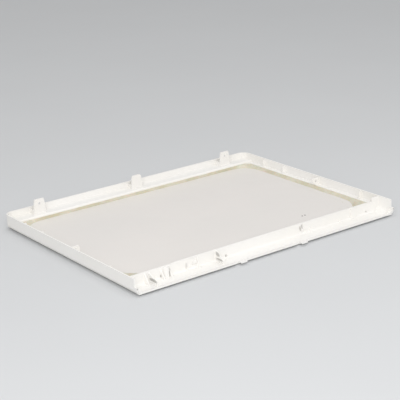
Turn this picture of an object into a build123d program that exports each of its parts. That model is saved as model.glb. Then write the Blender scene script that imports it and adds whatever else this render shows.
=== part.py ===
"""Appliance worktop cover: a moulded plastic frame with a laminated board glued into it.

The cover lies on its show face. Z = 0 is the show face, +Z points to the underside,
+Y points to the rear edge with its screw lugs, and X runs along the width. The origin
is the middle of the overall outline, tongues included.
All sizes are in millimetres.
"""
import math
import os

from build123d import *

os.makedirs("parts", exist_ok=True)

# ---------------------------------------------------------------- driving dimensions
WIDTH = 600.0  # overall, left to right
DEPTH = 462.0  # overall, front lip to rear wall, without the tongues
RIM_HEIGHT = 32.0  # show face to the rim of the side and rear walls
WALL = 2.5  # nominal moulded wall
CORNER_R = 18.0  # rear corners in plan
EDGE_RUN = 22.0  # how far the rounded show edge runs inward
EDGE_RISE = 12.0  # how high the rounded show edge rises
LIP_CUT = 17.8  # run of the front rounding that is left before the open front
REAR_EDGE_R = 6.0  # rounding between the show face and the rear wall

# Side wall ends beside the open front
END_SETBACK = 7.5  # upper part of each side wall stops this far behind the lip
END_STEP_Z = 17.0  # height of the step in the side wall ends
FRONT_CORNER_R = 10.0  # lip corners in plan

# Ledges that frame the glued board: a narrow one at the sides, a higher shelf at the rear
LEDGE_Z = 15.8  # top of the side ledges
SHELF_Z = 19.8  # top of the rear shelf
LEDGE_T = 2.5
SIDE_BORDER = 13.2  # outer face to the ledge's inner edge, left and right
REAR_BORDER = 30.5  # outer face to the shelf's inner edge
SHELF_SKIRT_Z = 14.0  # lower edge of the skirt under the shelf's inner edge
SHELF_EDGE_R = 3.0  # rounding between shelf and skirt
OPENING_R = 12.0  # corner radius of the ledge opening

# Cross wall at the front of the board
FRONT_WALL_Y = 43.0  # front plane to the rear face of the cross wall
FRONT_WALL_Z = 24.3  # top of the cross wall in the middle
FRONT_WALL_LOW_Z = 23.0  # top of the cross wall towards the sides
CROWN_LEFT = 190.0  # the higher middle part ends this far left of the centre
CROWN_RIGHT = 262.0  # the same, right
CROWN_FALL = 12.0  # run over which the top falls from the higher to the lower level
FRONT_ROOT_R = 4.0  # hollow rounding between cross wall and floor
GUSSET_FROM_SIDE = 20.0  # the wall's right end rises beside the side wall, from this far in
GUSSET_TOP_Z = 31.2
GUSSET_BREAK = 4.0  # sloped corner of that raised end

# Board
BOARD_GAP = 1.5  # clearance between board edge and ledge opening
BOARD_TOP = 10.0  # back of the board above the show face
BEZEL = 12.0  # frame floor left under the board's margin
BEZEL_GAP = 0.5  # clearance between the bezel and the board's raised face
BOARD_RECESS = 0.3  # show face of the board behind the frame's show face
BOARD_R = OPENING_R - BOARD_GAP
BEZEL_R = 8.0
MARK_D = 2.5  # two shallow peg marks in the board's back
MARK_DEPTH = 1.5
MARK_X = 155.5
MARK_PITCH = 7.0
MARK_FROM_REAR = 362.0

# Adhesive bead
BEAD_TOP_Z = 15.0  # top of the bead against the side ledges
BEAD_SHELF_Z = 16.3  # top of the bead against the rear shelf
BEAD_SIDE_FOOT = 7.4  # spread over the board's back, sides
BEAD_REAR_FOOT = 2.6  # the same, rear
BEAD_FRONT_FOOT = 6.0  # the same, front
BEAD_WAVE = 0.9  # unevenness of that spread
BEAD_TOP_WAVE = 0.18  # the same at the bead's top
BEAD_FINE_WAVES = 19  # short waves once round the bead
BEAD_LONG_WAVES = 7  # long waves once round the bead
BEAD_FINE_SHARE = 0.6
BEAD_LONG_LAG = 1.3
BEAD_POINTS = 96
BEAD_CROWN = 1.0  # width of the bead at its top
BEAD_CORNER_R = 32.0  # the bead fills the rear corners of the opening
BEAD_FRONT_R = 74.0  # and runs wide across the front corners
BEAD_CORNER_TAPER = 10.0  # both radii are this much smaller at the bead's top
BEAD_SHELF_END = 4.0  # the taller part at the shelf stops this far before the rounded corners

# Screw lugs on the rear ledge
LUG_PITCH = 230.0
LUG_FROM_REAR = 20.5  # outer rear face to the lug's front face
LUG_T = 3.0
LUG_TOP_Z = 50.0
LUG_MID_TOP_Z = 48.0
LUG_SHOULDER_Z = 39.0
LUG_TOP_W = 20.0
LUG_SHOULDER_W = 24.0
LUG_FOOT_W = 26.0
LUG_HOLE_R = 2.25
LUG_HOLE_Z = 40.5
LUG_MID_R = 5.0
LUG_EDGE_R = 1.5
LUG_WEB_T = 2.0
LUG_WEB_Z = 29.0
LUG_WEB_FALL = 2.0  # fall of the web's top towards the rear wall

# Ribs on the side walls, measured from the rear face
RIB_T = 2.0
RIB_REACH = 7.0
RIB_TOP_Z = 30.5
RIB_BREAK_X = 1.4  # sloped upper corner of each rib
RIB_BREAK_Z = 3.0
SIDE_RIBS = (76.0, 141.0, 373.0)
TAB_FROM_REAR = 248.0
TAB_REACH = 18.0
TAB_TOP_Z = 30.5
TAB_UNDER_Z = 17.5  # the tab's free end stays above the bead
TAB_T = 2.5
TAB_CLEAR = 0.5  # the tab's root stays this far off the ledge's inner edge
TAB_TIP_RISE = 2.5  # rise of the underside towards the free end
TAB_BREAK_X = 2.5  # sloped upper corner at the free end
TAB_BREAK_Z = 4.0
TAB_HEEL_X = 3.0  # sloped upper corner at the side wall
TAB_HEEL_Z = 5.0
TAB_HOLE_R = 2.4
TAB_HOLE_Z = 23.5
TAB_HOLE_REACH = 9.0

# Ribs inside the channel under the ledge
CHANNEL_GAP = 2.0  # clearance between channel ribs and the board's edge
CHANNEL_RIBS_SIDE = 6
CHANNEL_RIBS_REAR = 9

# Ribs in front of the cross wall: (distance right of the middle, run, top height)
FRONT_RIBS = (
    (-257.0, 13.0, 21.5),
    (-222.5, 11.0, 18.0),
    (-205.0, 7.5, 17.0),
    (-169.0, 4.5, 21.0),
    (-144.0, 6.0, 20.0),
    (-81.0, 5.0, 11.0),
    (107.0, 3.0, 16.0),
    (119.0, 3.5, 12.0),
    (194.0, 4.0, 9.0),
)
FRONT_RIB_T = 2.0
FRONT_RIB_TOE = 1.0  # height of each rib's front end above the floor
SLOTTED_RIBS = ((-248.0, 25.0, 20.0), (-104.0, 24.0, 24.0))  # the same, with a slot above the floor
SLOT_LOW_Z = 3.6
SLOT_TOP_Z = 7.6
SLOT_REACH = 0.85  # share of the rib's run that the slot takes
SLOT_ROOT = 1.5  # material left between slot and cross wall
SLOT_ROOF = 1.2  # material left over the slot at the rib's front end
BRACKET_X = 94.5  # short bracket that hangs from the top of the cross wall
BRACKET_RUN = 7.0
BRACKET_LOW_Z = 12.5
BRACKET_DROP = 1.5  # its top below the top of the cross wall
BRACKET_TIP = 1.5  # height of its free end
CLIP_X = 98.3  # upright clip slot through the cross wall, beside the bracket
CLIP_W = 5.0
CLIP_LOW_Z = 11.5
CLIP_TOP_Z = 21.0
POST_X = -213.0  # half-round post on the cross wall
POST_R = 6.5
POST_DROP = 1.0  # its top below the top of the cross wall
PAD_X = 229.0  # raised pad on the cross wall
PAD_W = 14.0
PAD_OUT = 2.5
PAD_DROP = 0.5  # its top below the top of the cross wall
RECESS_X = -156.5  # shallow recess in the cross wall with a catch inside
RECESS_W = 21.0
RECESS_LOW_Z = 9.0
RECESS_TOP_Z = 22.3
RECESS_DEEP = 1.2
CATCH_X = -151.5
CATCH_W = 9.0
CATCH_LOW_Z = 11.0
CATCH_TOP_Z = 16.5
VENT_X = 264.0
VENT_Z = 7.0
VENT_R = 1.8
TONGUE_X = 71.0  # half the tongues' pitch
TONGUE_SHIFT = -4.0  # both tongues stand this far right of an even spacing
TONGUE_W = 13.5
TONGUE_OUT = 5.0
TONGUE_ROOT = 4.0  # the tongue runs this far back into the lip
TONGUE_RELIEF = 7.0  # width of the relief notch on the left of each tongue
TONGUE_RELIEF_RUN = 6.0

HALF_W = WIDTH / 2
REAR_Y = (DEPTH + TONGUE_OUT) / 2
FRONT_Y = REAR_Y - DEPTH
EPS = 0.01
LAP = 1.0  # how far joined or cutting bodies run into each other
BIG = 2 * WIDTH


# ---------------------------------------------------------------- shape helpers
def block(x0, x1, y0, y1, z0, z1):
    """Box between two opposite corners."""
    return Pos((x0 + x1) / 2, (y0 + y1) / 2, (z0 + z1) / 2) * Box(x1 - x0, y1 - y0, z1 - z0)


def side_section(inset):
    """Section across the width: straight walls with elliptical lower corners."""
    half = HALF_W - inset
    run = EDGE_RUN - inset
    rise = EDGE_RISE - inset
    upper = Pos(0, EDGE_RISE + BIG / 2) * Rectangle(2 * half, BIG)
    height = EDGE_RISE - inset + LAP
    lower = Pos(0, inset + height / 2) * Rectangle(2 * (half - run), height)
    bends = Sketch()
    for sign in (-1, 1):
        bends += Pos(sign * (half - run), EDGE_RISE) * Ellipse(run, rise)
    return upper + lower + bends


def depth_section(inset):
    """Section along the depth: elliptical front rounding, small rear rounding."""
    y_centre = FRONT_Y + LIP_CUT
    run = EDGE_RUN - inset
    rise = EDGE_RISE - inset
    y_rear = REAR_Y - inset
    r_rear = REAR_EDGE_R - inset
    upper = Pos((y_centre - run + y_rear) / 2, EDGE_RISE + BIG / 2) * Rectangle(y_rear - y_centre + run, BIG)
    height = EDGE_RISE - inset + LAP
    flat = y_rear - r_rear - y_centre
    lower = Pos(y_centre + flat / 2, inset + height / 2) * Rectangle(flat, height)
    heel_h = EDGE_RISE - REAR_EDGE_R + LAP
    heel = Pos(y_rear - r_rear - LAP, REAR_EDGE_R + heel_h / 2) * Rectangle(2 * (r_rear + LAP), heel_h)
    bends = Pos(y_centre, EDGE_RISE) * Ellipse(run, rise)
    bends += Pos(y_rear - r_rear, inset + r_rear) * Circle(r_rear)
    return upper + lower + heel + bends


def plan(inset, front_y, front_r):
    """Plan outline with rounded rear corners and a straight front at front_y."""
    depth = REAR_Y - inset - front_y
    sheet = Pos(0, front_y + depth / 2) * Rectangle(2 * (HALF_W - inset), depth)
    sheet = fillet(sheet.vertices().group_by(Axis.Y)[-1], CORNER_R - inset)
    if front_r > 0:
        sheet = fillet(sheet.vertices().group_by(Axis.Y)[0], front_r)
    return sheet


def body(inset, front_y, top_z, front_r=0):
    """Solid with the cover's outer form, moved inward by inset."""
    across = extrude(Plane.XZ * side_section(inset), DEPTH, both=True)
    along = extrude(Plane.YZ * depth_section(inset), WIDTH, both=True)
    upright = extrude(plan(inset, front_y, front_r), top_z)
    return (upright & across) & along


def rounded_slab(x_half, y0, y1, z0, z1, radius):
    """Slab with four rounded upright edges, symmetric about X = 0."""
    sheet = Pos(0, (y0 + y1) / 2) * RectangleRounded(2 * x_half, y1 - y0, radius)
    return Pos(0, 0, z0) * extrude(sheet, z1 - z0)


def cross_plate(x, points, thickness):
    """Plate in a YZ plane, centred on x, from (y, z) corners."""
    sheet = make_face(Polyline(*[(y, z) for y, z in points], close=True))
    return Pos(x, 0, 0) * extrude(Plane.YZ * sheet, thickness / 2, both=True)


def long_plate(y, points, thickness):
    """Plate in an XZ plane, centred on y, from (x, z) corners."""
    sheet = make_face(Polyline(*[(x, z) for x, z in points], close=True))
    return Pos(0, y, 0) * extrude(Plane.XZ * sheet, thickness / 2, both=True)


# ---------------------------------------------------------------- frame shell
outer = body(0, FRONT_Y, RIM_HEIGHT, FRONT_CORNER_R)
cavity = body(WALL, FRONT_Y - LAP, RIM_HEIGHT + LAP)
frame = outer - cavity

opening_x = HALF_W - SIDE_BORDER
opening_rear = REAR_Y - REAR_BORDER
wall_rear = FRONT_Y + FRONT_WALL_Y
wall_front = wall_rear - WALL

# Show-side opening for the board's raised face
bezel_x = opening_x - BOARD_GAP - BEZEL
bezel_front = wall_rear + BOARD_GAP + BEZEL
bezel_rear = opening_rear - BOARD_GAP - BEZEL
frame -= rounded_slab(bezel_x, bezel_front, bezel_rear, -LAP, WALL + LAP, BEZEL_R)

# Flat seat for the board, let into the curved corners of the floor
seat = rounded_slab(opening_x, wall_rear, opening_rear, WALL, BOARD_TOP, OPENING_R)
frame -= seat

# ---------------------------------------------------------------- ledges and their channel ribs
opening = rounded_slab(opening_x, wall_rear, opening_rear, WALL, RIM_HEIGHT, OPENING_R)
ledge = block(-HALF_W, HALF_W, wall_rear - WALL / 2, opening_rear + OPENING_R, LEDGE_Z - LEDGE_T, LEDGE_Z)
shelf = block(-HALF_W, HALF_W, opening_rear, REAR_Y, SHELF_Z - LEDGE_T, SHELF_Z)
shelf += block(-HALF_W, HALF_W, opening_rear, opening_rear + LEDGE_T, SHELF_SKIRT_Z, SHELF_Z)
shelf_edge = shelf.edges().filter_by(Axis.X).group_by(Axis.Z)[-1].sort_by(Axis.Y)[0]
shelf = fillet(shelf_edge, SHELF_EDGE_R)
added = [ledge - opening, shelf]

board_x = opening_x - BOARD_GAP
board_front = wall_rear + BOARD_GAP
board_rear = opening_rear - BOARD_GAP
span_y = opening_rear - wall_rear
for i in range(CHANNEL_RIBS_SIDE):
    y = wall_rear + span_y * (i + 0.5) / CHANNEL_RIBS_SIDE
    for sign in (-1, 1):
        inner = sign * (board_x + CHANNEL_GAP)
        x0, x1 = sorted((inner, sign * HALF_W))
        added.append(block(x0, x1, y - RIB_T / 2, y + RIB_T / 2, WALL / 2, LEDGE_Z - LEDGE_T / 2))
for i in range(CHANNEL_RIBS_REAR):
    x = (i - (CHANNEL_RIBS_REAR - 1) / 2) * 2 * opening_x / CHANNEL_RIBS_REAR
    added.append(
        block(x - RIB_T / 2, x + RIB_T / 2, board_rear + CHANNEL_GAP, REAR_Y, WALL / 2, SHELF_Z - LEDGE_T / 2)
    )

# ---------------------------------------------------------------- front cross wall
gusset_x = HALF_W - GUSSET_FROM_SIDE
wall_outline = [
    (-HALF_W, 0),
    (HALF_W, 0),
    (HALF_W, GUSSET_TOP_Z),
    (gusset_x + GUSSET_BREAK, GUSSET_TOP_Z),
    (gusset_x, GUSSET_TOP_Z - GUSSET_BREAK / 2),
    (gusset_x, FRONT_WALL_LOW_Z),
    (CROWN_RIGHT + CROWN_FALL, FRONT_WALL_LOW_Z),
    (CROWN_RIGHT, FRONT_WALL_Z),
    (-CROWN_LEFT, FRONT_WALL_Z),
    (-CROWN_LEFT - CROWN_FALL, FRONT_WALL_LOW_Z),
    (-HALF_W, FRONT_WALL_LOW_Z),
]
cross_wall = long_plate((wall_rear + wall_front) / 2, wall_outline, WALL)
root = block(-HALF_W, HALF_W, wall_front - FRONT_ROOT_R, wall_front + EPS, 0, WALL + FRONT_ROOT_R)
root -= Pos(0, wall_front - FRONT_ROOT_R, WALL + FRONT_ROOT_R) * Rot(0, 90, 0) * Cylinder(FRONT_ROOT_R, BIG)
added += [cross_wall, root]

# ---------------------------------------------------------------- side ribs and tabs
for sign in (-1, 1):
    wall_in = sign * (HALF_W - WALL / 2)
    tip = sign * (HALF_W - WALL - RIB_REACH)
    shoulder = tip + sign * RIB_BREAK_X
    for from_rear in SIDE_RIBS:
        outline = [
            (wall_in, LEDGE_Z - LAP),
            (tip, LEDGE_Z - LAP),
            (tip, RIB_TOP_Z - RIB_BREAK_Z),
            (shoulder, RIB_TOP_Z),
            (wall_in, RIB_TOP_Z),
        ]
        added.append(long_plate(REAR_Y - from_rear, outline, RIB_T))
    tip = sign * (HALF_W - WALL - TAB_REACH)
    outline = [
        (wall_in, LEDGE_Z - LAP),
        (sign * (opening_x + TAB_CLEAR), LEDGE_Z - LAP),
        (sign * (opening_x + TAB_CLEAR), TAB_UNDER_Z),
        (tip, TAB_UNDER_Z + TAB_TIP_RISE),
        (tip, TAB_TOP_Z - TAB_BREAK_Z),
        (tip + sign * TAB_BREAK_X, TAB_TOP_Z),
        (sign * (HALF_W - WALL - TAB_HEEL_X), TAB_TOP_Z),
        (wall_in, TAB_TOP_Z - TAB_HEEL_Z),
    ]
    tab = long_plate(REAR_Y - TAB_FROM_REAR, outline, TAB_T)
    hole_x = sign * (HALF_W - WALL - TAB_HOLE_REACH)
    tab -= Pos(hole_x, REAR_Y - TAB_FROM_REAR, TAB_HOLE_Z) * Rot(90, 0, 0) * Cylinder(TAB_HOLE_R, 4 * TAB_T)
    added.append(tab)

# ---------------------------------------------------------------- ribs in front of the cross wall
back = wall_front + WALL / 2


def front_rib(x, run, top_z):
    """Triangular rib from the cross wall down to the floor."""
    outline = [
        (back, top_z),
        (wall_front, top_z),
        (wall_front - run, WALL + FRONT_RIB_TOE),
        (wall_front - run, 0),
        (back, 0),
    ]
    return cross_plate(x, outline, FRONT_RIB_T)


for x, run, top_z in FRONT_RIBS:
    added.append(front_rib(x, run, top_z))
for x, run, top_z in SLOTTED_RIBS:
    slot_front = wall_front - SLOT_REACH * run
    slot = block(x - FRONT_RIB_T, x + FRONT_RIB_T, slot_front, wall_front - SLOT_ROOT, SLOT_LOW_Z, SLOT_TOP_Z)
    outline = [
        (back, top_z),
        (wall_front, top_z),
        (wall_front - run, SLOT_TOP_Z + SLOT_ROOF),
        (wall_front - run, 0),
        (back, 0),
    ]
    added.append(cross_plate(x, outline, FRONT_RIB_T) - slot)
bracket = [
    (back, FRONT_WALL_Z - BRACKET_DROP),
    (wall_front, FRONT_WALL_Z - BRACKET_DROP),
    (wall_front - BRACKET_RUN, BRACKET_LOW_Z + BRACKET_TIP),
    (wall_front - BRACKET_RUN, BRACKET_LOW_Z),
    (back, BRACKET_LOW_Z),
]
added.append(cross_plate(BRACKET_X, bracket, FRONT_RIB_T))
post = Pos(POST_X, wall_front, 0) * extrude(Circle(POST_R), FRONT_WALL_LOW_Z - POST_DROP)
added.append(post & block(-BIG, BIG, FRONT_Y, back, 0, RIM_HEIGHT))
pad_top = FRONT_WALL_Z - PAD_DROP
added.append(block(PAD_X - PAD_W / 2, PAD_X + PAD_W / 2, wall_front - PAD_OUT, back, 0, pad_top))

for item in added:
    frame += item & outer

recess_x0 = RECESS_X - RECESS_W / 2
recess_x1 = RECESS_X + RECESS_W / 2
recess_y = wall_front + RECESS_DEEP
frame -= block(recess_x0, recess_x1, wall_front - LAP, recess_y, RECESS_LOW_Z, RECESS_TOP_Z)
frame += block(CATCH_X - CATCH_W / 2, CATCH_X + CATCH_W / 2, wall_front - LAP, back, CATCH_LOW_Z, CATCH_TOP_Z)
clip_x0 = CLIP_X - CLIP_W / 2
clip_x1 = CLIP_X + CLIP_W / 2
frame -= block(clip_x0, clip_x1, wall_front - LAP, wall_rear + LAP, CLIP_LOW_Z, CLIP_TOP_Z)
frame -= Pos(VENT_X, wall_front, VENT_Z) * Rot(90, 0, 0) * Cylinder(VENT_R, 3 * WALL)

# ---------------------------------------------------------------- rear lugs
lug_front = REAR_Y - LUG_FROM_REAR
for index in (-1, 0, 1):
    x = index * LUG_PITCH
    top = LUG_MID_TOP_Z if index == 0 else LUG_TOP_Z
    sheet = make_face(
        Polyline(
            (-LUG_FOOT_W / 2, SHELF_Z - LAP),
            (LUG_FOOT_W / 2, SHELF_Z - LAP),
            (LUG_SHOULDER_W / 2, LUG_SHOULDER_Z),
            (LUG_TOP_W / 2, top),
            (-LUG_TOP_W / 2, top),
            (-LUG_SHOULDER_W / 2, LUG_SHOULDER_Z),
            close=True,
        )
    )
    sheet = fillet(sheet.vertices().group_by(Axis.Y)[-1], LUG_MID_R if index == 0 else LUG_EDGE_R)
    if index != 0:
        sheet -= Pos(0, LUG_HOLE_Z) * Circle(LUG_HOLE_R)
    lug = Pos(x, lug_front, 0) * extrude(Plane.XZ * sheet, -LUG_T)
    frame += lug
    for side in (-1, 1):
        web_x = x + side * (LUG_FOOT_W / 2 - LUG_WEB_T)
        web = [
            (lug_front + LUG_T / 2, SHELF_Z - LAP),
            (REAR_Y - WALL / 2, SHELF_Z - LAP),
            (REAR_Y - WALL / 2, LUG_WEB_Z - LUG_WEB_FALL),
            (lug_front + LUG_T / 2, LUG_WEB_Z),
        ]
        frame += cross_plate(web_x, web, LUG_WEB_T)

# ---------------------------------------------------------------- open front, wall ends and tongues
frame -= block(-BIG, BIG, FRONT_Y - LAP, FRONT_Y + END_SETBACK, END_STEP_Z, RIM_HEIGHT + LAP)
lip_low = EDGE_RISE - EDGE_RISE * math.sqrt(1 - (LIP_CUT / EDGE_RUN) ** 2)
for sign in (-1, 1):
    x = sign * TONGUE_X + TONGUE_SHIFT
    tip_y = FRONT_Y - TONGUE_OUT
    root_y = FRONT_Y + TONGUE_ROOT
    tongue = block(x - TONGUE_W / 2, x + TONGUE_W / 2, tip_y, root_y, lip_low, lip_low + WALL)
    frame += tongue - cavity
    slot_x = x - TONGUE_W / 2
    slot_y = FRONT_Y + TONGUE_RELIEF_RUN
    frame -= block(slot_x - TONGUE_RELIEF, slot_x, FRONT_Y - LAP, slot_y, 0, EDGE_RISE)

# ---------------------------------------------------------------- board
board = rounded_slab(board_x, board_front, board_rear, WALL, BOARD_TOP, BOARD_R)
face_x = bezel_x - BEZEL_GAP
face_front = bezel_front + BEZEL_GAP
face_rear = bezel_rear - BEZEL_GAP
board += rounded_slab(face_x, face_front, face_rear, BOARD_RECESS, WALL + LAP, BEZEL_R - BEZEL_GAP)
for side in (-1, 1):
    board -= Pos(MARK_X + side * MARK_PITCH / 2, REAR_Y - MARK_FROM_REAR, BOARD_TOP) * Cylinder(
        MARK_D / 2, 2 * MARK_DEPTH
    )

# ---------------------------------------------------------------- adhesive bead
def bead_outline(side, front, rear, taper, wave):
    """Points of a closed curve inside the opening, with an uneven spread."""
    y0 = wall_rear + front
    y1 = opening_rear - rear
    sheet = Pos(0, (y0 + y1) / 2) * Rectangle(2 * (opening_x - side), y1 - y0)
    sheet = fillet(sheet.vertices().group_by(Axis.Y)[-1], BEAD_CORNER_R - taper)
    sheet = fillet(sheet.vertices().group_by(Axis.Y)[0], BEAD_FRONT_R - taper)
    path = sheet.wires()[0]
    points = []
    for i in range(BEAD_POINTS):
        u = i / BEAD_POINTS
        spot = path @ u
        tangent = path % u
        fine = math.sin(2 * math.pi * BEAD_FINE_WAVES * u)
        long = math.sin(2 * math.pi * BEAD_LONG_WAVES * u + BEAD_LONG_LAG)
        push = wave * (BEAD_FINE_SHARE * fine + (1 - BEAD_FINE_SHARE) * long)
        points.append((spot.X - tangent.Y * push, spot.Y + tangent.X * push))
    return points


def bead_sheet(z, side, front, rear, taper, wave):
    """Face inside the smooth bead outline at height z."""
    return Pos(0, 0, z) * make_face(Spline(*bead_outline(side, front, rear, taper, wave), periodic=True))


ring = rounded_slab(opening_x, wall_rear, opening_rear, BOARD_TOP, BEAD_TOP_Z, OPENING_R)
bead = ring - loft(
    [
        bead_sheet(BOARD_TOP, BEAD_SIDE_FOOT, BEAD_FRONT_FOOT, BEAD_REAR_FOOT, 0, BEAD_WAVE),
        bead_sheet(BEAD_TOP_Z, BEAD_CROWN, BEAD_CROWN, BEAD_CROWN, BEAD_CORNER_TAPER, BEAD_TOP_WAVE),
    ]
)
shelf_fill = [
    (opening_rear, BOARD_TOP),
    (opening_rear - BEAD_REAR_FOOT, BOARD_TOP),
    (opening_rear - BEAD_CROWN, BEAD_SHELF_Z),
    (opening_rear, BEAD_SHELF_Z),
]
shelf_half = opening_x - OPENING_R - BEAD_SHELF_END
bead += cross_plate(0, shelf_fill, 2 * shelf_half)

# ---------------------------------------------------------------- export
frame.label = "frame"
board.label = "board"
bead.label = "adhesive_bead"
export_step(frame, "parts/frame.step")
export_step(board, "parts/board.step")
export_step(bead, "parts/adhesive_bead.step")
print("frame", frame.is_valid, len(frame.solids()), round(frame.volume))
print("board", board.is_valid, len(board.solids()), round(board.volume))
print("bead", bead.is_valid, len(bead.solids()), round(bead.volume))
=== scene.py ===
"""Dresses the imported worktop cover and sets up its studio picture.

The cover lies on its show face: a moulded white frame around a laminated board that is held
by a bead of hot-melt glue. Everything is in metres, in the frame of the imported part.
"""
import logging
import math
from dataclasses import dataclass, field
from enum import Enum
from typing import Sequence

import bmesh
import bpy
from mathutils import Matrix, Vector, noise


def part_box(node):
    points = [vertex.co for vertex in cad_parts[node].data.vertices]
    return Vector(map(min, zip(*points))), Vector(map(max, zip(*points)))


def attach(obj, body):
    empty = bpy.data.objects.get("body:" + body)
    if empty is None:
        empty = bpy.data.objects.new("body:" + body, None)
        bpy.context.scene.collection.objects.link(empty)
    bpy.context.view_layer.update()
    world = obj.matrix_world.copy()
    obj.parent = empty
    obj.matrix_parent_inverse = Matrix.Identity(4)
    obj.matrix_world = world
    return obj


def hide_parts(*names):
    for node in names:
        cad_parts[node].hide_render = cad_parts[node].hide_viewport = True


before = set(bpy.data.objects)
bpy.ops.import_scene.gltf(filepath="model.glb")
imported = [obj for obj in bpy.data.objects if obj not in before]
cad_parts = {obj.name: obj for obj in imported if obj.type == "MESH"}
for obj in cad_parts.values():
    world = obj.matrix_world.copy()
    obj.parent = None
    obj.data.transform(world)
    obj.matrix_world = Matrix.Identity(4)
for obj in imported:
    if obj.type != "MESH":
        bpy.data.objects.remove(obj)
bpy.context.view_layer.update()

LOG = logging.getLogger("worktop_cover")
MM = 0.001
SHARP_ANGLE = math.radians(40.0)

# Sockets of the mix node for colours, whose names repeat for each type of data
MIX_SHARE, MIX_FIRST, MIX_SECOND, MIX_RESULT = 0, 6, 7, 2

Triple = tuple[float, float, float]
Colour = tuple[float, float, float]
Socket = bpy.types.NodeSocket


class Slot(Enum):
    """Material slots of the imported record."""

    PLASTIC = "white_plastic"
    BOARD = "laminated_board"
    GLUE = "hot_melt"


class Part(Enum):
    """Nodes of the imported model."""

    FRAME = "frame"
    BOARD = "board"
    BEAD = "adhesive_bead"


# ---------------------------------------------------------------- shader building
@dataclass(frozen=True)
class Grain:
    """A noise pattern: cycles per metre, octaves, strength of the finer octaves and stretch."""

    scale: float
    detail: float
    rough: float = 0.5
    stretch: Triple | None = None


@dataclass(frozen=True)
class Span:
    """A range of values and the range that it becomes, clamped at both ends."""

    low: float
    high: float
    to_low: float = 0.0
    to_high: float = 1.0


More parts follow.
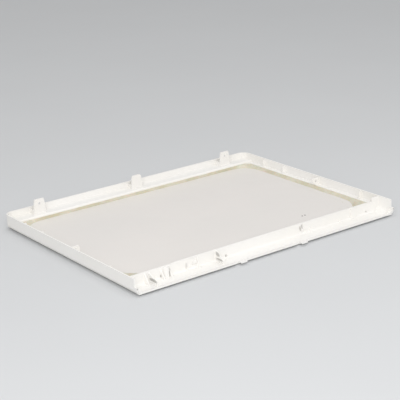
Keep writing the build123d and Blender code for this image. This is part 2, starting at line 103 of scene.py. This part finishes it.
class Shader:
    """One node material around a Principled shader."""

    def __init__(self, name: str) -> None:
        """Start an empty material.

        Args:
            name: Name of the material.
        """
        self.material = bpy.data.materials.new(name)
        self.material.use_nodes = True
        self.tree = self.material.node_tree
        self.surface = next(n for n in self.tree.nodes if n.type == "BSDF_PRINCIPLED")
        self._place: Socket | None = None

    def node(self, kind: str, **values: object) -> bpy.types.Node:
        """Add a node and set its properties.

        Args:
            kind: Blender's node type.
            values: Properties of the node.

        Returns:
            The new node.
        """
        made = self.tree.nodes.new(kind)
        for key, value in values.items():
            setattr(made, key, value)
        return made

    def link(self, source: Socket, target: Socket) -> None:
        """Join two sockets."""
        self.tree.links.new(source, target)

    def place(self) -> Socket:
        """Return the object coordinates, which are metres in the part's frame."""
        if self._place is None:
            self._place = self.node("ShaderNodeTexCoord").outputs["Object"]
        return self._place

    def stretched(self, scale: Triple) -> Socket:
        """Scale the object coordinates along each axis.

        Args:
            scale: Factors for X, Y and Z.

        Returns:
            The scaled coordinates.
        """
        mapping = self.node("ShaderNodeMapping")
        self.link(self.place(), mapping.inputs["Vector"])
        mapping.inputs["Scale"].default_value = scale
        return mapping.outputs["Vector"]

    def noise(self, grain: Grain) -> Socket:
        """Add a noise pattern.

        Args:
            grain: The pattern.

        Returns:
            The noise value, about 0.5 on average.
        """
        where = self.place() if grain.stretch is None else self.stretched(grain.stretch)
        made = self.node("ShaderNodeTexNoise")
        self.link(where, made.inputs["Vector"])
        made.inputs["Scale"].default_value = grain.scale
        made.inputs["Detail"].default_value = grain.detail
        made.inputs["Roughness"].default_value = grain.rough
        return made.outputs["Fac"]

    def span(self, value: Socket, span: Span) -> Socket:
        """Map a range of values smoothly to another range.

        Args:
            value: The value to map.
            span: Both ranges.

        Returns:
            The mapped value.
        """
        made = self.node("ShaderNodeMapRange", interpolation_type="SMOOTHSTEP")
        self.link(value, made.inputs["Value"])
        made.inputs["From Min"].default_value = span.low
        made.inputs["From Max"].default_value = span.high
        made.inputs["To Min"].default_value = span.to_low
        made.inputs["To Max"].default_value = span.to_high
        return made.outputs["Result"]

    def patches(self, grain: Grain, span: Span) -> Socket:
        """Return a noise pattern mapped to a range."""
        return self.span(self.noise(grain), span)

    def mix(self, share: Socket, first: Colour | Socket, second: Colour | Socket) -> Socket:
        """Blend two colours.

        Args:
            share: Share of the second colour.
            first: Colour at share 0.
            second: Colour at share 1.

        Returns:
            The blended colour.
        """
        made = self.node("ShaderNodeMix", data_type="RGBA")
        self.link(share, made.inputs[MIX_SHARE])
        for index, value in ((MIX_FIRST, first), (MIX_SECOND, second)):
            if isinstance(value, Socket):
                self.link(value, made.inputs[index])
            else:
                made.inputs[index].default_value = (*value, 1.0)
        return made.outputs[MIX_RESULT]

    def blob(self, at: Triple, radii: Triple, strength: float, core: float) -> Socket:
        """Mark the surroundings of a point with a soft blob.

        Args:
            at: The blob's centre in metres.
            radii: Its half sizes along X, Y and Z.
            strength: Its value at the centre, which falls to 0 at the edge.
            core: Share of the half sizes that keeps the full strength.

        Returns:
            The blob's value.
        """
        local = self.node("ShaderNodeMapping")
        self.link(self.place(), local.inputs["Vector"])
        local.inputs["Location"].default_value = [-c / r for c, r in zip(at, radii)]
        local.inputs["Scale"].default_value = [1 / r for r in radii]
        length = self.node("ShaderNodeVectorMath", operation="LENGTH")
        self.link(local.outputs["Vector"], length.inputs[0])
        return self.span(length.outputs["Value"], Span(core, 1.0, strength, 0.0))

    def disc(self, x: float, y: float, radius: float, core: float) -> Socket:
        """Mark a round spot in plan.

        Args:
            x: The spot's centre along X in metres.
            y: The spot's centre along Y.
            radius: Its radius.
            core: Share of the radius that is fully marked.

        Returns:
            1 in the spot's core, falling to 0 at its edge.
        """
        flat = self.node("ShaderNodeVectorMath", operation="MULTIPLY")
        self.link(self.place(), flat.inputs[0])
        flat.inputs[1].default_value = (1.0, 1.0, 0.0)
        apart = self.node("ShaderNodeVectorMath", operation="DISTANCE")
        self.link(flat.outputs["Vector"], apart.inputs[0])
        apart.inputs[1].default_value = (x, y, 0.0)
        return self.span(apart.outputs["Value"], Span(radius * core, radius, 1.0, 0.0))

    def bump(self, layers: Sequence[tuple[Grain, float]]) -> None:
        """Stack bump layers on the surface.

        Args:
            layers: Pairs of a height pattern and its depth in metres.
        """
        previous = None
        for grain, depth in layers:
            made = self.node("ShaderNodeBump")
            made.inputs["Distance"].default_value = depth
            self.link(self.noise(grain), made.inputs["Height"])
            if previous is not None:
                self.link(previous, made.inputs["Normal"])
            previous = made.outputs["Normal"]
        if previous is not None:
            self.link(previous, self.surface.inputs["Normal"])

    def set(self, **sockets: float | Socket) -> None:
        """Set values or patterns on the Principled shader, with underscores for spaces.

        Args:
            sockets: A number or a socket for each input.
        """
        for key, value in sockets.items():
            target = self.surface.inputs[key.replace("_", " ")]
            if isinstance(value, Socket):
                self.link(value, target)
            else:
                target.default_value = value


# ---------------------------------------------------------------- finishes
@dataclass(frozen=True)
class ShadeSpot:
    """A spot of painted shade on the moulding's slots, ribs and pockets, in millimetres."""

    at: Triple
    radii: Triple
    strength: float


# Painted shade: dark blobs where the front channel's slots, ribs and pockets lie in shade.
CHANNEL_SHADE_SPOTS = (
    ShadeSpot((-249.0, -203.0, 9.7), (2.6, 16.0, 4.2), 0.75),
    ShadeSpot((-223.1, -188.0, 6.8), (3.0, 4.0, 4.0), 0.60),
    ShadeSpot((-205.0, -188.5, 9.0), (3.2, 3.0, 11.0), 0.60),
    ShadeSpot((-169.4, -189.0, 11.0), (1.8, 3.0, 8.0), 0.35),
    ShadeSpot((-105.0, -196.0, 18.5), (2.6, 8.0, 7.0), 0.75),
    ShadeSpot((-105.0, -200.0, 8.4), (2.6, 13.0, 3.8), 0.75),
    ShadeSpot((-81.0, -188.0, 7.1), (2.6, 4.0, 4.0), 0.60),
    ShadeSpot((96.2, -189.0, 15.6), (4.4, 7.0, 7.5), 0.90),
)


@dataclass(frozen=True)
class MouldedPlastic:
    """White moulded plastic: satin, faintly uneven in tone, with a fine tool texture and painted
    shade in the front channel's pockets.
    """

    white: Colour = (0.895, 0.880, 0.855)
    warm: Colour = (0.880, 0.862, 0.825)
    scuff: Colour = (0.83, 0.815, 0.785)
    # Painted shade colour, blended in round each spot of the channel.
    painted_shade: Colour = (0.33, 0.32, 0.30)
    painted_shade_core: float = 0.45
    tone_grain: Grain = Grain(7.0, 4.0)
    tone_span: Span = Span(0.35, 0.70)
    scuff_grain: Grain = Grain(38.0, 6.0, 0.65, (1.0, 1.0, 2.5))
    scuff_span: Span = Span(0.66, 0.80, 0.0, 0.35)
    gloss_grain: Grain = Grain(55.0, 4.0)
    gloss_span: Span = Span(0.3, 0.7, 0.36, 0.48)
    flow: Grain = Grain(24.0, 1.0, 0.4, (0.35, 1.0, 1.0))
    flow_depth: float = 0.10 * MM
    texture: Grain = Grain(2600.0, 2.0)
    texture_depth: float = 0.012 * MM
    specular: float = 0.45

    def build(self) -> bpy.types.Material:
        """Make the material.

        Returns:
            The finished material.
        """
        s = Shader(Slot.PLASTIC.value)
        tone = s.mix(s.patches(self.tone_grain, self.tone_span), self.white, self.warm)
        tone = s.mix(s.patches(self.scuff_grain, self.scuff_span), tone, self.scuff)
        # Painted shade: the base colour darkens towards the shade colour round each spot.
        for shade_spot in CHANNEL_SHADE_SPOTS:
            at = tuple(value * MM for value in shade_spot.at)
            radii = tuple(value * MM for value in shade_spot.radii)
            tone = s.mix(s.blob(at, radii, shade_spot.strength, self.painted_shade_core), tone, self.painted_shade)
        gloss = s.patches(self.gloss_grain, self.gloss_span)
        s.bump([(self.flow, self.flow_depth), (self.texture, self.texture_depth)])
        s.set(Base_Color=tone, Roughness=gloss, Specular_IOR_Level=self.specular)
        return s.material


@dataclass(frozen=True)
class BoardLaminate:
    """Grey-white backing laminate: smooth and matt, with a speckle and painted shade in its two
    peg holes.
    """

    pale: Colour = (0.785, 0.752, 0.722)
    grey: Colour = (0.765, 0.737, 0.709)
    # Lighter and warmer towards the rear.
    rear_tone: Colour = (0.795, 0.765, 0.720)
    speck: Colour = (0.60, 0.575, 0.535)
    # Painted shade: near-black for the inside of the two peg holes.
    hole_shade: Colour = (0.04, 0.035, 0.03)
    tone_grain: Grain = Grain(5.0, 3.0)
    tone_span: Span = Span(0.30, 0.70)
    rear_over_y: Span = Span(0.10, 0.20, 0.0, 0.7)
    speck_grain: Grain = Grain(900.0, 3.0, 0.7, (0.5, 1.0, 1.0))
    speck_span: Span = Span(0.60, 0.78, 0.0, 0.30)
    mark_x: float = 155.5 * MM
    mark_y: float = -128.5 * MM
    mark_pitch: float = 7.0 * MM
    mark_r: float = 2.0 * MM
    mark_core: float = 0.7
    gloss_grain: Grain = Grain(30.0, 5.0)
    gloss_span: Span = Span(0.3, 0.7, 0.44, 0.58)
    waviness: Grain = Grain(9.0, 1.0)
    waviness_depth: float = 0.012 * MM
    texture: Grain = Grain(1400.0, 2.0)
    texture_depth: float = 0.010 * MM
    specular: float = 0.4

    def build(self) -> bpy.types.Material:
        """Make the material.

        Returns:
            The finished material.
        """
        s = Shader(Slot.BOARD.value)
        tone = s.mix(s.patches(self.tone_grain, self.tone_span), self.pale, self.grey)
        along = s.node("ShaderNodeSeparateXYZ")
        s.link(s.place(), along.inputs["Vector"])
        # The board grows lighter and warmer towards the rear, following the Y coordinate.
        tone = s.mix(s.span(along.outputs["Y"], self.rear_over_y), tone, self.rear_tone)
        tone = s.mix(s.patches(self.speck_grain, self.speck_span), tone, self.speck)
        # Painted shade: a near-black disc over each peg hole.
        for side in (-1, 1):
            x = self.mark_x + side * self.mark_pitch / 2
            tone = s.mix(s.disc(x, self.mark_y, self.mark_r, self.mark_core), tone, self.hole_shade)
        gloss = s.patches(self.gloss_grain, self.gloss_span)
        s.bump([(self.waviness, self.waviness_depth), (self.texture, self.texture_depth)])
        s.set(Base_Color=tone, Roughness=gloss, Specular_IOR_Level=self.specular)
        return s.material


@dataclass(frozen=True)
class HotMeltGlue:
    """Set hot-melt glue: yellowish, waxy and a little glossy, with thick and thin stretches."""

    thick: Colour = (0.605, 0.560, 0.420)
    thin: Colour = (0.685, 0.645, 0.530)
    amber: Colour = (0.590, 0.505, 0.360)
    tone_grain: Grain = Grain(35.0, 4.0, 0.6)
    tone_span: Span = Span(0.35, 0.65)
    amber_grain: Grain = Grain(120.0, 5.0, 0.6)
    amber_span: Span = Span(0.62, 0.78, 0.0, 0.45)
    gloss_grain: Grain = Grain(200.0, 3.0)
    gloss_span: Span = Span(0.3, 0.7, 0.28, 0.42)
    lumps: Grain = Grain(160.0, 2.0)
    lumps_depth: float = 0.30 * MM
    texture: Grain = Grain(900.0, 2.0)
    texture_depth: float = 0.03 * MM
    specular: float = 0.5
    depth_share: float = 0.15
    depth: float = 2.0 * MM

    def build(self) -> bpy.types.Material:
        """Make the material.

        Returns:
            The finished material.
        """
        s = Shader(Slot.GLUE.value)
        tone = s.mix(s.patches(self.tone_grain, self.tone_span), self.thick, self.thin)
        tone = s.mix(s.patches(self.amber_grain, self.amber_span), tone, self.amber)
        gloss = s.patches(self.gloss_grain, self.gloss_span)
        s.bump([(self.lumps, self.lumps_depth), (self.texture, self.texture_depth)])
        s.set(Base_Color=tone, Roughness=gloss, Specular_IOR_Level=self.specular)
        s.set(Subsurface_Weight=self.depth_share, Subsurface_Scale=self.depth)
        return s.material


@dataclass(frozen=True)
class StudioFloor:
    """Plain pale floor."""

    pale: Colour = (0.65, 0.66, 0.67)
    even: Colour = (0.67, 0.68, 0.69)
    tone_grain: Grain = Grain(3.0, 2.0)
    roughness: float = 0.75
    specular: float = 0.2

    def build(self) -> bpy.types.Material:
        """Make the material.

        Returns:
            The finished material.
        """
        s = Shader("studio_floor")
        tone = s.mix(s.noise(self.tone_grain), self.pale, self.even)
        s.set(Base_Color=tone, Roughness=self.roughness, Specular_IOR_Level=self.specular)
        return s.material


# ---------------------------------------------------------------- mesh helpers
def finished(
    name: str, shape: bmesh.types.BMesh, material: bpy.types.Material, smooth: bool
) -> bpy.types.Object:
    """Turn a bmesh into an object at the origin and free the bmesh.

    Args:
        name: Name of the object.
        shape: The finished shape, in place.
        material: Its material.
        smooth: Whether its faces are shaded smooth.

    Returns:
        The new object.
    """
    bmesh.ops.recalc_face_normals(shape, faces=shape.faces)
    for face in shape.faces:
        face.smooth = smooth
    for edge in shape.edges:
        edge.smooth = not (edge.is_manifold and edge.calc_face_angle() > SHARP_ANGLE)
    mesh = bpy.data.meshes.new(name)
    shape.to_mesh(mesh)
    shape.free()
    mesh.materials.append(material)
    made = bpy.data.objects.new(name, mesh)
    bpy.context.scene.collection.objects.link(made)
    return made


def lofted(rows: Sequence[Sequence[Vector]], joined: bool) -> bmesh.types.BMesh:
    """Extrude a closed loop of edges from row to row of points.

    Args:
        rows: Closed loops of points, equally many in each.
        joined: Whether the last row is bridged back to the first, or both are capped.

    Returns:
        The new shape.
    """
    shape = bmesh.new()
    count = len(rows[0])
    first = list(bmesh.ops.create_circle(shape, segments=count, radius=1.0)["verts"])
    for vert, spot in zip(first, rows[0]):
        vert.co = spot
    order = first
    for row in rows[1:]:
        edges = [shape.edges.get((order[i - 1], order[i])) for i in range(count)]
        made = bmesh.ops.extrude_edge_only(shape, edges=edges)["geom"]
        fresh = {part for part in made if isinstance(part, bmesh.types.BMVert)}
        order = [
            next(e.other_vert(v) for e in v.link_edges if e.other_vert(v) in fresh) for v in order
        ]
        for vert, spot in zip(order, row):
            vert.co = spot
    loops = (first, order)
    if joined:
        ends = [shape.edges.get((loop[i - 1], loop[i])) for loop in loops for i in range(count)]
        bmesh.ops.bridge_loops(shape, edges=ends)
    else:
        for loop in loops:
            bmesh.ops.contextual_create(shape, geom=loop)
    return shape


def clamp(value: float, low: float, high: float) -> float:
    """Return the value, held between low and high."""
    return max(low, min(high, value))


def waves(spot: Vector, per_metre: float, layer: float) -> float:
    """Return smooth noise between -1 and 1 at a place in plan, from one of its layers."""
    return noise.noise(Vector((spot.x * per_metre, spot.y * per_metre, layer)))


@dataclass
class RoundedRectangle:
    """A rounded rectangle in plan, whose front corners may be rounder than the rear ones."""

    low: Vector
    high: Vector
    radius: float
    front_radius: float | None = None

    def point(self, share: float) -> Vector:
        """Find a point of the outline, whose corners all have the same radius here.

        Args:
            share: Share of the outline's length, from 0 to 1, anticlockwise from the middle of
                the right side.

        Returns:
            The point.
        """
        width = self.high.x - self.low.x - 2 * self.radius
        depth = self.high.y - self.low.y - 2 * self.radius
        arc = self.radius * math.pi / 2
        left = (share % 1.0) * (2 * width + 2 * depth + 4 * arc)
        at = Vector((self.high.x, (self.low.y + self.high.y) / 2))
        heading = Vector((0.0, 1.0))
        sides = ((depth / 2, arc), (width, arc), (depth, arc), (width, arc), (depth / 2, 0.0))
        for straight, turn in sides:
            if left <= straight:
                return at + heading * left
            left -= straight
            at = at + heading * straight
            inward = Vector((-heading.y, heading.x))
            if turn and left <= turn:
                angle = left / self.radius
                ahead = heading * (self.radius * math.sin(angle))
                centre = at + inward * self.radius
                return centre + ahead - inward * (self.radius * math.cos(angle))
            left -= turn
            if turn:
                at = at + (heading + inward) * self.radius
                heading = inward
        return at

    def nearest(self, spot: Vector) -> Vector:
        """Find the outline's point nearest to a spot outside it.

        Args:
            spot: A point in plan.

        Returns:
            The nearest point.
        """
        in_front = spot.y < (self.low.y + self.high.y) / 2
        radius = self.front_radius if in_front and self.front_radius else self.radius
        core = Vector(
            (
                clamp(spot.x, self.low.x + radius, self.high.x - radius),
                clamp(spot.y, self.low.y + radius, self.high.y - radius),
            )
        )
        away = spot - core
        return core + away.normalized() * radius


# ---------------------------------------------------------------- sub-assemblies
@dataclass
class GlueBead:
    """The bead of hot-melt glue around the board, with its drops."""

    around: int = 1400
    steps: int = 7
    corner: float = 12 * MM
    foot_corner: float = 42 * MM
    foot_front_corner: float = 74 * MM
    foot_side: float = 7.4 * MM
    foot_front: float = 6.0 * MM
    foot_rear: float = 1.8 * MM
    slope: float = 6.4 * MM
    crown: float = 1.0 * MM
    top_side: float = 15.0 * MM
    top_rear: float = 15.7 * MM
    top_blend: float = 2.0 * MM
    top_fall: float = 0.5 * MM
    slow_waves: float = 28.0
    slow_layer: float = 0.0
    slow_share: float = 0.8
    quick_waves: float = 95.0
    quick_layer: float = 3.0
    quick_share: float = 0.4
    wander: float = 1.3 * MM
    pool_steps: int = 3
    pool_width: float = 20.0 * MM
    sag: float = 0.8 * MM
    sag_waves: float = 60.0
    sag_layer: float = 7.0
    sag_least: float = 0.7
    sag_spread: float = 0.6
    bulge: float = 0.7 * MM
    bulge_least: float = 0.8
    bulge_spread: float = 0.5
    drops: int = 14
    drop_seed: int = 5489
    drop_start: float = 0.13
    drop_stride: float = 0.6180339887
    drop_near: float = 4.0 * MM
    drop_spread: float = 9.0 * MM
    drop_r: float = 1.1 * MM
    drop_r_least: float = 0.45
    drop_r_spread: float = 0.6
    drop_flat: float = 0.28
    drop_waves: float = 900.0
    drop_uneven: float = 0.25
    drop_rounds: int = 2
    low: Vector = field(init=False)
    high: Vector = field(init=False)
    wall: RoundedRectangle = field(init=False)
    foot: RoundedRectangle = field(init=False)

    def build(self, glue: bpy.types.Material) -> list[bpy.types.Object]:
        """Make the bead and its drops.

        Args:
            glue: The glue's material.

        Returns:
            The new objects.
        """
        low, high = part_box(Part.BEAD.value)
        self.low, self.high = low, high
        self.wall = RoundedRectangle(low.to_2d(), high.to_2d(), self.corner)
        foot_low = Vector((low.x + self.foot_side, low.y + self.foot_front))
        foot_high = Vector((high.x - self.foot_side, high.y - self.foot_rear))
        corners = (self.foot_corner, self.foot_front_corner)
        self.foot = RoundedRectangle(foot_low, foot_high, *corners)
        bead = self._bead(glue)
        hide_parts(Part.BEAD.value)
        pieces = [bead, self._drops(glue)]
        for piece in pieces:
            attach(piece, "root")
        return pieces

    def _section(self, share: float) -> list[Vector]:
        """Work out the bead's section, from the wall's top round to the wall's foot.

        Args:
            share: Place along the bead, from 0 to 1.

        Returns:
            The section's points.
        """
        wall = self.wall.point(share)
        foot = self.foot.nearest(wall)
        slow = waves(wall, self.slow_waves, self.slow_layer)
        quick = waves(wall, self.quick_waves, self.quick_layer)
        inward = (foot - wall).normalized()
        uneven = self.wander * (self.slow_share * slow + self.quick_share * quick)
        reach = (foot - wall).length + uneven
        blend_from = self.high.y - self.top_blend
        at_rear = clamp((wall.y - blend_from) / self.top_blend, 0.0, 1.0)
        top = self.top_side + (self.top_rear - self.top_side) * at_rear
        top -= abs(slow) * self.top_fall
        base = self.low.z
        brink = max(self.crown, reach - self.slope)
        points = []
        for step in range(self.pool_steps):
            t = step / self.pool_steps
            spot = wall + inward * brink * t
            dip = self.sag * math.sin(math.pi * t) * clamp(brink / self.pool_width, 0.0, 1.0)
            here = waves(spot, self.sag_waves, self.sag_layer)
            dip *= self.sag_least + self.sag_spread * here
            points.append(Vector((*spot, top - max(0.0, dip))))
        for step in range(self.steps + 1):
            t = step / self.steps
            out = brink + (reach - brink) * t
            swell = self.bulge * math.sin(math.pi * t)
            rise = (top - base) * (1 - t) + swell * (self.bulge_least + self.bulge_spread * quick)
            points.append(Vector((*(wall + inward * out), base + max(0.0, rise))))
        points.append(Vector((*wall, base)))
        return points

    def _bead(self, glue: bpy.types.Material) -> bpy.types.Object:
        """Run the points of the section round the board as closed loops.

        Args:
            glue: The glue's material.

        Returns:
            The new object.
        """
        sections = [self._section(i / self.around) for i in range(self.around)]
        shape = lofted(list(zip(*sections)), True)
        return finished("glue_bead", shape, glue, True)

    def _drops(self, glue: bpy.types.Material) -> bpy.types.Object:
        """Make the flat drops of glue that lie on the board beside the bead.

        Args:
            glue: The glue's material.

        Returns:
            The new object.
        """
        noise.seed_set(self.drop_seed)
        shape = bmesh.new()
        flat = Matrix.Diagonal((1.0, 1.0, self.drop_flat, 1.0))
        for index in range(self.drops):
            wall = self.wall.point((index * self.drop_stride + self.drop_start) % 1.0)
            foot = self.foot.nearest(wall)
            inward = (foot - wall).normalized()
            spot = foot + inward * (self.drop_near + self.drop_spread * noise.random())
            radius = self.drop_r * (self.drop_r_least + self.drop_r_spread * noise.random())
            place = Matrix.Translation((spot.x, spot.y, self.low.z)) @ flat
            ball = bmesh.ops.create_icosphere(
                shape, subdivisions=self.drop_rounds, radius=radius, matrix=place
            )["verts"]
            for vert in ball:
                shift = noise.noise_vector(vert.co * self.drop_waves).xy
                vert.co.xy += shift * radius * self.drop_uneven
                vert.co.z = max(vert.co.z, self.low.z)
        return finished("glue_drops", shape, glue, True)


@dataclass
class EjectorMarks:
    """Faint round marks that the mould's ejector pins left on the shelf and ledges."""

    radius: float = 2.6 * MM
    proud: float = 0.12 * MM
    ring: float = 0.35 * MM
    dish: float = 0.08 * MM
    segments: int = 28
    ledge_z: float = 15.8 * MM
    shelf_z: float = 19.8 * MM
    ledge_x: float = 292.5 * MM
    shelf_y: float = 222.0 * MM
    ledge_y: Sequence[float] = (-0.158, -0.105, -0.060, 0.035, 0.122, 0.182)
    shelf_x: Sequence[float] = (-0.272, -0.175, -0.105, -0.045, 0.045, 0.105, 0.175, 0.272)

    def build(self, plastic: bpy.types.Material) -> bpy.types.Object:
        """Make all the marks as one piece.

        Args:
            plastic: The frame's material.

        Returns:
            The new object.
        """
        spots = [(sign * self.ledge_x, y, self.ledge_z) for sign in (-1, 1) for y in self.ledge_y]
        spots += [(x, self.shelf_y, self.shelf_z) for x in self.shelf_x]
        shape = bmesh.new()
        for spot in spots:
            at = Matrix.Translation(spot)
            disc = bmesh.ops.create_circle(
                shape, cap_ends=True, segments=self.segments, radius=self.radius, matrix=at
            )["verts"]
            lid = disc[0].link_faces[0]
            raised = bmesh.ops.extrude_face_region(shape, geom=[lid])["geom"]
            top = [v for v in raised if isinstance(v, bmesh.types.BMVert)]
            bmesh.ops.translate(shape, verts=top, vec=(0, 0, self.proud))
            face = next(f for f in raised if isinstance(f, bmesh.types.BMFace))
            bmesh.ops.inset_region(shape, faces=[face], thickness=self.ring, depth=-self.dish)
        made = finished("ejector_marks", shape, plastic, False)
        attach(made, "root")
        return made


@dataclass
class LipCorners:
    """The ends of the open front lip: full corners at the top, rounded towards the show face."""

    depth: float = 462 * MM
    run: float = 22 * MM
    rise: float = 12 * MM
    wall: float = 2.5 * MM
    cut: float = 17.8 * MM
    top_z: float = 17 * MM
    foot_z: float = 5 * MM
    reach: float = 11 * MM
    round_top: float = 0.4 * MM
    round_foot: float = 9.5 * MM
    sink: float = 0.05 * MM
    thin: float = 0.2 * MM
    levels: int = 16
    rings: int = 14
    crowding: float = 1.5
    half: float = field(init=False)
    front: float = field(init=False)

    def build(self, plastic: bpy.types.Material) -> bpy.types.Object:
        """Make both corners as one piece.

        Args:
            plastic: The frame's material.

        Returns:
            The new object.
        """
        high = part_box(Part.FRAME.value)[1]
        self.half = high.x
        self.front = high.y - self.depth
        shape = bmesh.new()
        for sign in (-1.0, 1.0):
            loops = [self._ring(sign, step / (self.rings - 1)) for step in range(self.rings)]
            corner = lofted(loops, False)
            passing = bpy.data.meshes.new("lip_corner")
            corner.to_mesh(passing)
            corner.free()
            shape.from_mesh(passing)
            bpy.data.meshes.remove(passing)
        made = finished("lip_corners", shape, plastic, True)
        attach(made, "root")
        return made

    def _foot(self, inset: float, back: float) -> float:
        """Work out the height of the skin's front rounding.

        Args:
            inset: Depth below the skin's outer face.
            back: Distance behind the lip's front.

        Returns:
            The height above the show face.
        """
        share = (self.cut - back) / (self.run - inset)
        return self.rise - (self.rise - inset) * math.sqrt(1 - share**2)

    def _side(self, inset: float, z: float) -> float:
        """Work out how far the side wall's skin is from the middle at a height.

        Args:
            inset: Depth below the skin's outer face.
            z: Height above the show face.

        Returns:
            The distance from the middle.
        """
        fall = clamp((self.rise - z) / (self.rise - inset), 0.0, 1.0)
        return self.half - self.run + (self.run - inset) * math.sqrt(1 - fall**2)

    def _rounding(self, z: float, back: float) -> float:
        """Work out how far the upright corner edge is rounded away.

        Args:
            z: Height above the show face.
            back: Distance behind the lip's front.

        Returns:
            The distance from the full corner.
        """
        share = (self.top_z - z) / (self.top_z - self.foot_z)
        radius = self.round_top + (self.round_foot - self.round_top) * share**2
        return radius - math.sqrt(radius**2 - max(0.0, radius - back) ** 2)

    def _ring(self, sign: float, share: float) -> list[Vector]:
        """Work out one closed loop round the skin's section.

        Args:
            sign: -1 for the left corner, 1 for the right one.
            share: Place from the lip's front, 0, to the hidden rear end, 1.

        Returns:
            The loop's points.
        """
        back = self.sink + self.reach * share**self.crowding
        under = self.wall - self.sink
        root = self.half - self.reach
        top = self.top_z - self.sink
        outer_foot, inner_foot = self._foot(self.sink, back), self._foot(under, back)
        outer, inner = [(root, outer_foot)], [(root, inner_foot)]
        for level in range(self.levels + 1):
            z = outer_foot + (top - outer_foot) * level / self.levels
            x = self._side(self.sink, z) - self._rounding(z, back)
            least = self._side(under, z) + self.thin if z > inner_foot else root + self.thin
            outer.append((max(x, least), z))
            z = inner_foot + (top - inner_foot) * level / self.levels
            inner.append((self._side(under, z), z))
        return [Vector((sign * x, self.front + back, z)) for x, z in (*outer, *reversed(inner))]


@dataclass
class PackedParts:
    """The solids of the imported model, which only get their finishes."""

    finishes: dict[Part, bpy.types.Material]

    def dress(self) -> None:
        """Give each solid its finish."""
        for part, material in self.finishes.items():
            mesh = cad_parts[part.value].data
            mesh.materials.clear()
            mesh.materials.append(material)
            LOG.info("dressed %s with %s", part.value, material.name)


# ---------------------------------------------------------------- studio
@dataclass(frozen=True)
class Lamp:
    """A square soft lamp: its name, centre, power and width, in metres and watts."""

    name: str
    at: Triple
    watts: float
    side: float

    def hang(self, aim: Triple) -> None:
        """Hang the lamp so that it faces a point.

        Args:
            aim: The point.
        """
        lamp = bpy.data.lights.new(self.name, "AREA")
        lamp.energy = self.watts
        lamp.size = self.side
        hung = bpy.data.objects.new(self.name, lamp)
        hung.location = self.at
        hung.rotation_euler = (hung.location - Vector(aim)).to_track_quat("Z", "Y").to_euler()
        bpy.context.scene.collection.objects.link(hung)


@dataclass
class Studio:
    """Floor, lights and camera."""

    floor_half: float = 9.0
    floor_z: float = -0.2 * MM
    world_level: float = 0.62
    world_tint: Colour = (1.0, 1.0, 1.0)
    aim: Triple = (0.0, 0.0, 0.02)
    lamps: Sequence[Lamp] = (
        Lamp("key", (-1.36, -1.88, 1.43), 32.5, 1.6),
        Lamp("fill", (0.95, -1.30, 0.85), 2.0, 1.0),
        Lamp("top", (0.0, 0.0, 2.5), 10.5, 2.0),
    )
    image_px: float = 400.0
    focal_px: float = 1245.34
    sensor_mm: float = 36.0
    eye: Triple = (-1.33767, -1.84043, 0.81435)
    azimuth: float = math.radians(-36.087)
    elevation: float = math.radians(18.654)
    roll: float = math.radians(-2.382)

    def build(self) -> None:
        """Set up the whole studio."""
        self._floor()
        self._light()
        self._camera()
        bpy.context.scene.view_settings.view_transform = "Standard"

    def _floor(self) -> None:
        """Lay the floor under the show face."""
        shape = bmesh.new()
        bmesh.ops.create_grid(shape, x_segments=1, y_segments=1, size=self.floor_half)
        bmesh.ops.translate(shape, verts=shape.verts, vec=(0, 0, self.floor_z))
        finished("floor", shape, StudioFloor().build(), False)

    def _light(self) -> None:
        """Light the cover evenly from all round and softly from the front."""
        world = bpy.data.worlds.new("studio")
        bpy.context.scene.world = world
        world.use_nodes = True
        sky = next(n for n in world.node_tree.nodes if n.type == "BACKGROUND")
        sky.inputs["Color"].default_value = (*self.world_tint, 1.0)
        sky.inputs["Strength"].default_value = self.world_level
        for lamp in self.lamps:
            lamp.hang(self.aim)

    def _camera(self) -> None:
        """Place the camera in front of the cover's left corner, and roll it a little."""
        look = Vector(
            (
                -math.sin(self.azimuth) * math.cos(self.elevation),
                math.cos(self.azimuth) * math.cos(self.elevation),
                -math.sin(self.elevation),
            )
        )
        level = Vector((math.cos(self.azimuth), math.sin(self.azimuth), 0.0))
        upright = level.cross(look)
        right = level * math.cos(self.roll) + upright * math.sin(self.roll)
        up = upright * math.cos(self.roll) - level * math.sin(self.roll)
        turn = Matrix((right, up, -look)).transposed().to_4x4()
        lens = bpy.data.cameras.new("camera")
        lens.sensor_width = self.sensor_mm
        lens.sensor_fit = "HORIZONTAL"
        lens.lens = self.focal_px * self.sensor_mm / self.image_px
        camera = bpy.data.objects.new("camera", lens)
        camera.matrix_world = Matrix.Translation(self.eye) @ turn
        bpy.context.scene.collection.objects.link(camera)
        bpy.context.scene.camera = camera


def main() -> None:
    """Build the finishes, the pieces and the studio in order."""
    logging.basicConfig(level=logging.INFO, format="%(message)s")
    plastic = MouldedPlastic().build()
    glue = HotMeltGlue().build()
    board = BoardLaminate().build()
    PackedParts({Part.FRAME: plastic, Part.BOARD: board, Part.BEAD: glue}).dress()
    glued = GlueBead().build(glue)
    for piece in (*glued, EjectorMarks().build(plastic), LipCorners().build(plastic)):
        LOG.info("made %s with %d faces", piece.name, len(piece.data.polygons))
    Studio().build()


if __name__ == "__main__":
    main()
